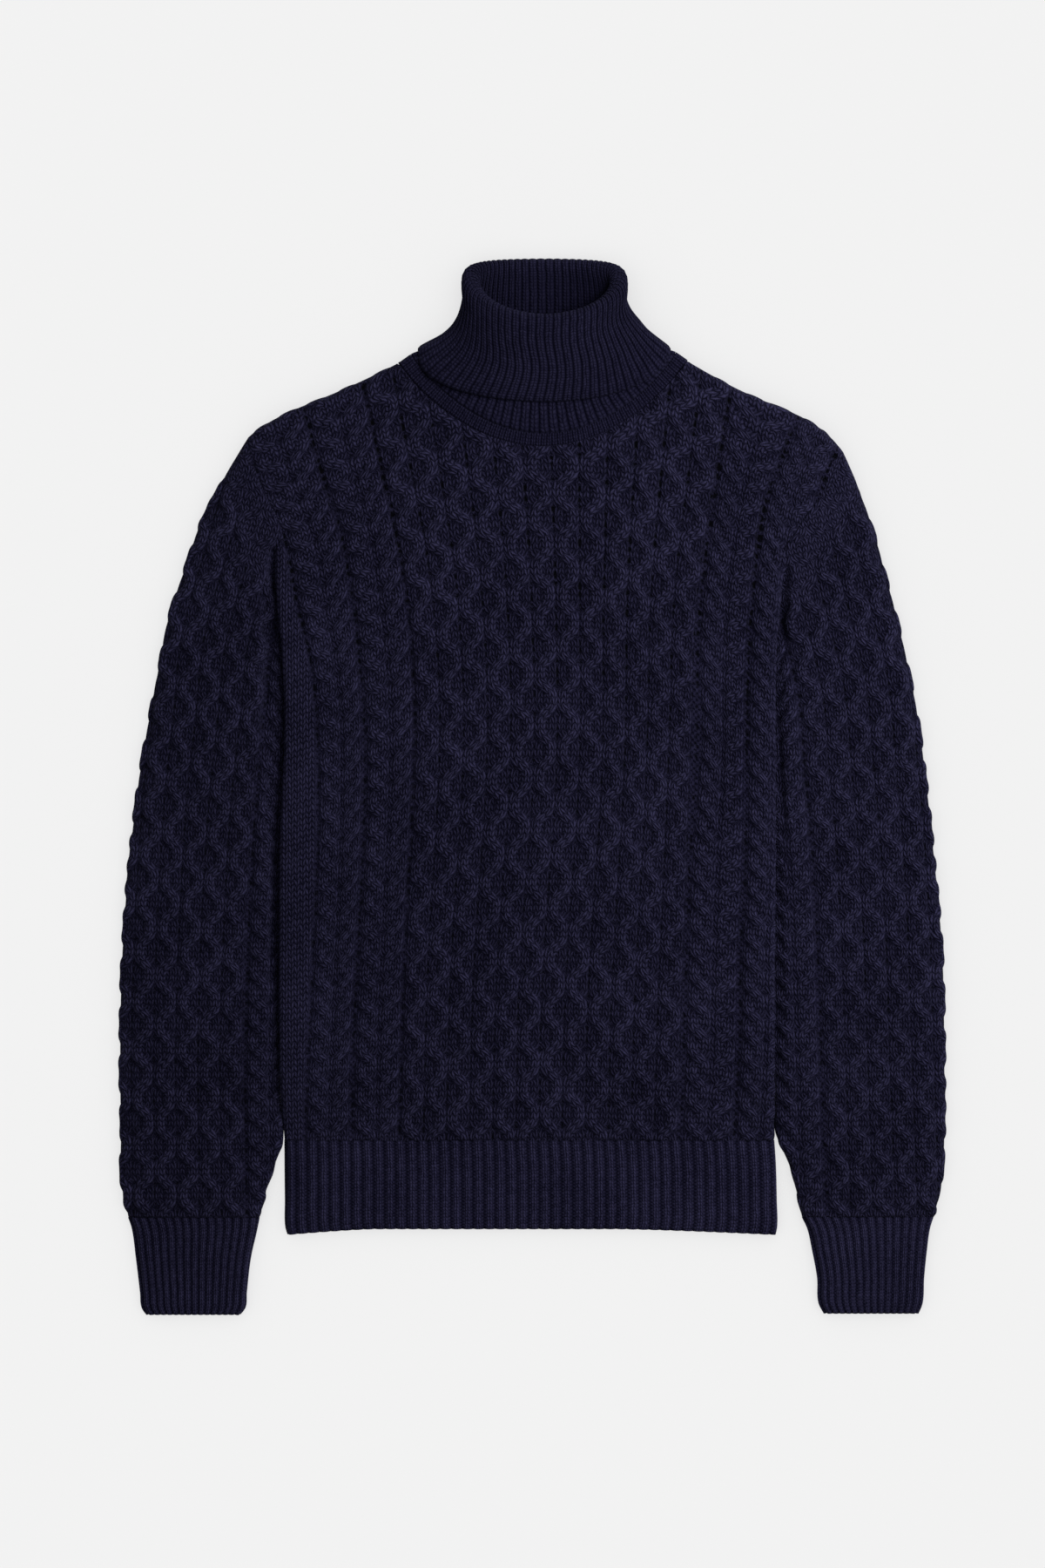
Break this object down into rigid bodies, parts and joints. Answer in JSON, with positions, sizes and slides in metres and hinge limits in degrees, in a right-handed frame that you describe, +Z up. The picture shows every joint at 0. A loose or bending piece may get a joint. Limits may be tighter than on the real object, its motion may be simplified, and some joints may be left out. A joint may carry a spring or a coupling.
{
  "type": "aran turtleneck sweater",
  "caption": "Cable and honeycomb knit wool sweater with a turned-down rib collar, long sleeves, rib cuffs and hem, laid flat on its back.",
  "frame": {"origin": "on the surface it lies on, under the middle of its outline", "axes": "+Y from the hem to the neck, +X towards the sleeve on the right as seen from above, +Z up from the surface"},
  "size_m": [0.6252, 0.7998, 0.0323],
  "materials": {
    "cable_wool": "matt navy wool, cables and honeycomb",
    "rib_wool": "matt navy wool, 1x1 rib"
  },
  "bodies": {
    "root": {"front_panel": "cable_wool", "back_panel": "cable_wool", "sleeve_left": "cable_wool", "sleeve_right": "cable_wool", "cuff_left": "rib_wool", "cuff_right": "rib_wool", "hem_rib": "rib_wool", "neck_band": "rib_wool", "roll_collar": "rib_wool"}
  },
  "joints": []
}
